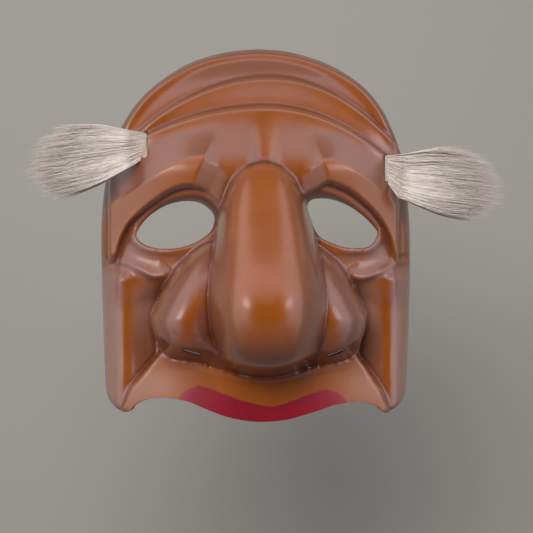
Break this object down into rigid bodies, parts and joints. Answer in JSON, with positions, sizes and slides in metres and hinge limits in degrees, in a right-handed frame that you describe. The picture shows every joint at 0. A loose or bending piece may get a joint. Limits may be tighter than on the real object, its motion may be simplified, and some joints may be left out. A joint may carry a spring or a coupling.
{
  "type": "half mask",
  "caption": "Moulded leather half mask with a large bulbous nose, open eyes, a folded brow and a tuft of pale hair at each temple.",
  "frame": {"origin": "middle of the face, in the plane of the rim that the mask lies on", "axes": "+X across the face to the wearer's left, which is the viewer's right; +Y up the face to the crown; +Z out of the face"},
  "size_m": [0.2509, 0.1958, 0.1001],
  "materials": {
    "moulded_leather": "honey-brown, burnished to a satin gloss, with a painted dark red upper lip",
    "white_hair": "long pale goat hair",
    "hair_skin": "raw pale skin that the hair grows from",
    "eyelet_brass": "dull rolled brass"
  },
  "bodies": {
    "root": {"mask_shell": "moulded_leather", "tuft_left_hair": "white_hair", "tuft_right_hair": "white_hair", "tuft_left_hide": "hair_skin", "tuft_right_hide": "hair_skin", "strap_eyelet_left": "eyelet_brass", "strap_eyelet_right": "eyelet_brass"}
  },
  "joints": []
}
